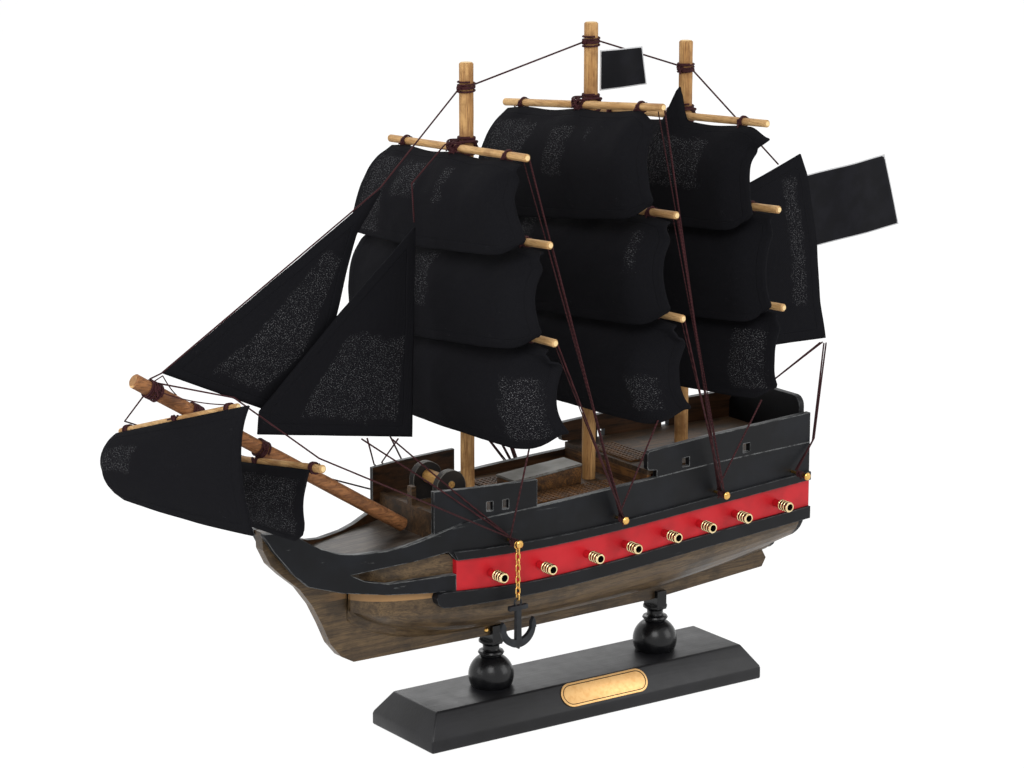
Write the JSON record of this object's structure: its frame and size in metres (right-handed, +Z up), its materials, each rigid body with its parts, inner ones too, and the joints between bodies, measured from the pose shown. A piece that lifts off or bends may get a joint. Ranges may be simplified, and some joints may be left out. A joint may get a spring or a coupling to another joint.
{
  "type": "model sailing ship",
  "caption": "Model three-masted sailing ship with black cloth sails, a painted wooden hull, brass cannons, hanging anchors and a display base.",
  "frame": {"origin": "centre of the base board's underside", "axes": "+X from the bow to the stern, +Y to starboard, +Z up"},
  "size_m": [0.356, 0.1201, 0.266],
  "materials": {
    "black_paint": "satin paint, worn at the edges",
    "red_paint": "satin paint",
    "dark_wood": "dark stain, weathered",
    "deck_wood": "brown stain",
    "pine": "bare wood",
    "brass": "polished",
    "black_cloth": "plain weave cotton",
    "flag_paper": "glossy",
    "thread": "waxed"
  },
  "bodies": {
    "ship": {"base_board": "black_paint", "nameplate": "brass", "post_fore": "black_paint", "post_aft": "black_paint", "keel_nail": "brass", "keel_board": "dark_wood", "hull_block": "dark_wood", "side_board_port": "black_paint", "side_board_starboard": "black_paint", "gun_band_port": "red_paint", "gun_band_starboard": "red_paint", "ledges": "black_paint", "wales": "black_paint", "forecastle_bulwark_port": "black_paint", "forecastle_bulwark_starboard": "black_paint", "quarter_bulwark_port": "black_paint", "quarter_bulwark_starboard": "black_paint", "bow_deck": "deck_wood", "forecastle_deck": "deck_wood", "waist_deck": "deck_wood", "quarter_deck": "deck_wood", "forecastle_front": "deck_wood", "quarter_front": "deck_wood", "transom": "black_paint", "hatch_house": "deck_wood", "windlass_cheeks": "deck_wood", "windlass_barrel": "pine", "cannons": "brass", "rigging_pins": "brass", "fore_mast": "pine", "main_mast": "pine", "mizzen_mast": "pine", "bowsprit": "pine", "fore_yards": "pine", "main_yards": "pine", "mizzen_yards": "pine", "sprit_yards": "pine", "fore_topgallant_sail": "black_cloth", "fore_topsail": "black_cloth", "fore_course": "black_cloth", "main_topgallant_sail": "black_cloth", "main_topsail": "black_cloth", "main_course": "black_cloth", "mizzen_topgallant_sail": "black_cloth", "mizzen_topsail": "black_cloth", "mizzen_course": "black_cloth", "outer_jib": "black_cloth", "inner_jib": "black_cloth", "spanker": "black_cloth", "fore_spritsail": "black_cloth", "aft_spritsail": "black_cloth", "stern_flag": "flag_paper", "main_flag": "flag_paper", "stays": "thread", "shrouds": "thread"},
    "chain_port": {"anchor_chain_port": "brass"},
    "anchor_port": {"anchor_port": "black_paint"},
    "chain_starboard": {"anchor_chain_starboard": "brass"},
    "anchor_starboard": {"anchor_starboard": "black_paint"}
  },
  "joints": [
    {"name": "chain_port_swing", "type": "hinge", "parent": "ship", "child": "chain_port", "pos_m": [-0.0492, -0.03445, 0.08029], "axis": [0, 1, 0], "range_deg": [-20, 16]},
    {"name": "anchor_port_swing", "type": "hinge", "parent": "chain_port", "child": "anchor_port", "pos_m": [-0.0492, -0.03445, 0.05852], "axis": [0, 1, 0], "range_deg": [-25, 25]},
    {"name": "chain_starboard_swing", "type": "hinge", "parent": "ship", "child": "chain_starboard", "pos_m": [-0.0492, 0.03445, 0.08029], "axis": [0, 1, 0], "range_deg": [-20, 16]},
    {"name": "anchor_starboard_swing", "type": "hinge", "parent": "chain_starboard", "child": "anchor_starboard", "pos_m": [-0.0492, 0.03445, 0.05852], "axis": [0, 1, 0], "range_deg": [-25, 25]}
  ]
}
